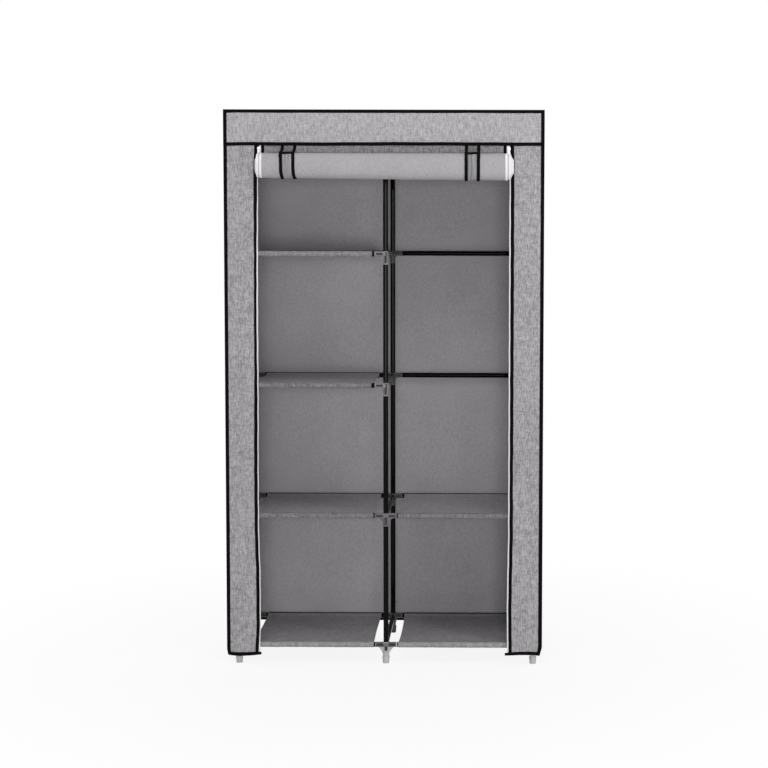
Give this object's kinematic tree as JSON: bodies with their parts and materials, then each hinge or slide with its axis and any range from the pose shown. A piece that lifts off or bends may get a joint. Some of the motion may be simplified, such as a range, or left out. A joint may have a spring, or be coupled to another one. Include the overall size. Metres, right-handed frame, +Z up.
{
  "type": "portable fabric wardrobe",
  "caption": "Free-standing wardrobe: push-fit steel tube frame with fabric shelves and a hanging rail, under a sewn cover whose zip door rolls up.",
  "frame": {"origin": "floor level, in the middle of the whole object's box", "axes": "+Z up; -Y out of the door opening; +X to the right of someone facing the door"},
  "size_m": [1, 0.521, 1.75],
  "materials": {
    "black_tube": "satin",
    "cover_fabric": "matte",
    "door_lining": "matte",
    "shelf_fabric": "matte",
    "strap_webbing": "matte",
    "zip_metal": "satin",
    "grey_plastic": "matte",
    "foot_plastic": "matte",
    "black_binding": "matte",
    "white_tape": "matte"
  },
  "bodies": {
    "frame_and_cover": {"post_front_left": "black_tube", "post_front_middle": "black_tube", "post_front_right": "black_tube", "post_rear_left": "black_tube", "post_rear_middle": "black_tube", "post_rear_right": "black_tube", "depth_tube_left_1": "black_tube", "depth_tube_left_2": "black_tube", "depth_tube_left_3": "black_tube", "depth_tube_left_4": "black_tube", "depth_tube_left_5": "black_tube", "depth_tube_middle_1": "black_tube", "depth_tube_middle_2": "black_tube", "depth_tube_middle_3": "black_tube", "depth_tube_middle_4": "black_tube", "depth_tube_middle_5": "black_tube", "depth_tube_right_1": "black_tube", "depth_tube_right_2": "black_tube", "depth_tube_right_3": "black_tube", "depth_tube_right_4": "black_tube", "depth_tube_right_5": "black_tube", "width_tube_front_left_1": "black_tube", "width_tube_rear_left_1": "black_tube", "width_tube_front_right_1": "black_tube", "width_tube_rear_right_1": "black_tube", "width_tube_front_left_2": "black_tube", "width_tube_rear_left_2": "black_tube", "width_tube_front_right_2": "black_tube", "width_tube_rear_right_2": "black_tube", "width_tube_front_left_3": "black_tube", "width_tube_rear_left_3": "black_tube", "width_tube_rear_right_3": "black_tube", "width_tube_front_left_4": "black_tube", "width_tube_rear_left_4": "black_tube", "width_tube_rear_right_4": "black_tube", "width_tube_front_left_5": "black_tube", "width_tube_rear_left_5": "black_tube", "width_tube_front_right_5": "black_tube", "width_tube_rear_right_5": "black_tube", "hanging_rail": "black_tube", "shelf_left_1": "shelf_fabric", "shelf_right_1": "shelf_fabric", "shelf_left_2": "shelf_fabric", "shelf_right_2": "shelf_fabric", "shelf_left_3": "shelf_fabric", "shelf_left_4": "shelf_fabric", "cover_top_and_header": "cover_fabric", "cover_back": "cover_fabric", "cover_side_left": "cover_fabric", "cover_side_right": "cover_fabric", "cover_strip_left": "cover_fabric", "cover_strip_right": "cover_fabric", "door_panel": "door_lining", "tie_strap_left": "strap_webbing", "tie_strap_right": "strap_webbing"},
    "rolled_door": {"door_roll": "door_lining"},
    "slider_left": {"zip_slider_left": "zip_metal"},
    "slider_right": {"zip_slider_right": "zip_metal"},
    "tab_left": {"zip_tab_left": "zip_metal"},
    "tab_right": {"zip_tab_right": "zip_metal"}
  },
  "joints": [
    {"name": "door_unroll", "type": "slide", "parent": "frame_and_cover", "child": "rolled_door", "axis": [0, 0, -1], "range_m": [0, 1.5], "deforming": ["door_panel", "tie_strap_left", "tie_strap_right"]},
    {"name": "zip_left", "type": "slide", "parent": "frame_and_cover", "child": "slider_left", "axis": [0, 0, -1], "range_m": [0, 1.57]},
    {"name": "zip_right", "type": "slide", "parent": "frame_and_cover", "child": "slider_right", "axis": [0, 0, -1], "range_m": [0, 1.57]},
    {"name": "pull_tab_left", "type": "hinge", "parent": "slider_left", "child": "tab_left", "pos_m": [-0.391, -0.194, 1.6265], "axis": [1, 0, 0], "range_deg": [-90, 0]},
    {"name": "pull_tab_right", "type": "hinge", "parent": "slider_right", "child": "tab_right", "pos_m": [0.391, -0.194, 1.6265], "axis": [1, 0, 0], "range_deg": [-90, 0]}
  ]
}
